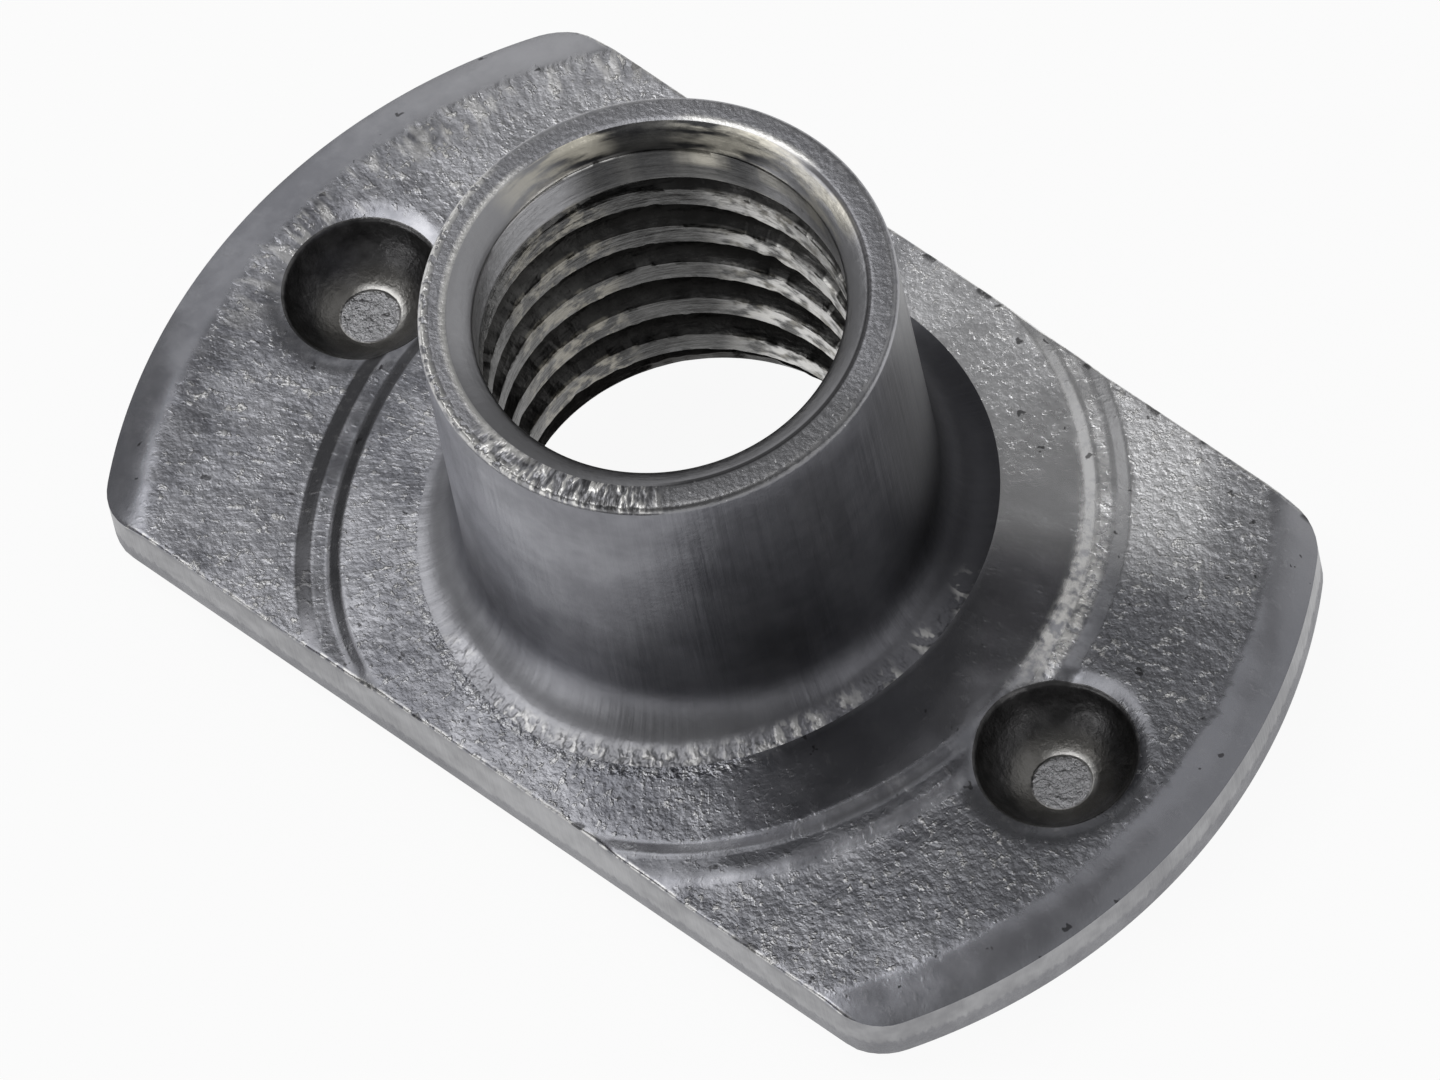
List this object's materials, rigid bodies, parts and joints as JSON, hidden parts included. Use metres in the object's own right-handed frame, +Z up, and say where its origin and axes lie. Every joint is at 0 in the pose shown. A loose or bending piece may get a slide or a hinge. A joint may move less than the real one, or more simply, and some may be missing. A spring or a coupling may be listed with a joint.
{
  "type": "tab base projection weld nut",
  "caption": "Projection weld nut with a drawn, tapped collar on a round-ended sheet steel plate with dimpled weld projections.",
  "frame": {"origin": "on the thread's axis, level with the tips of the two weld projections", "axes": "+Z up the collar, away from the sheet that the nut is welded to; +X through the two weld projections; +Y across the plate"},
  "size_m": [0.022, 0.0128, 0.0094],
  "materials": {
    "steel": "bare low carbon steel as drawn and pressed, dull grey, with fine radial drawing marks"
  },
  "bodies": {
    "root": {"weld_nut": "steel"}
  },
  "joints": []
}
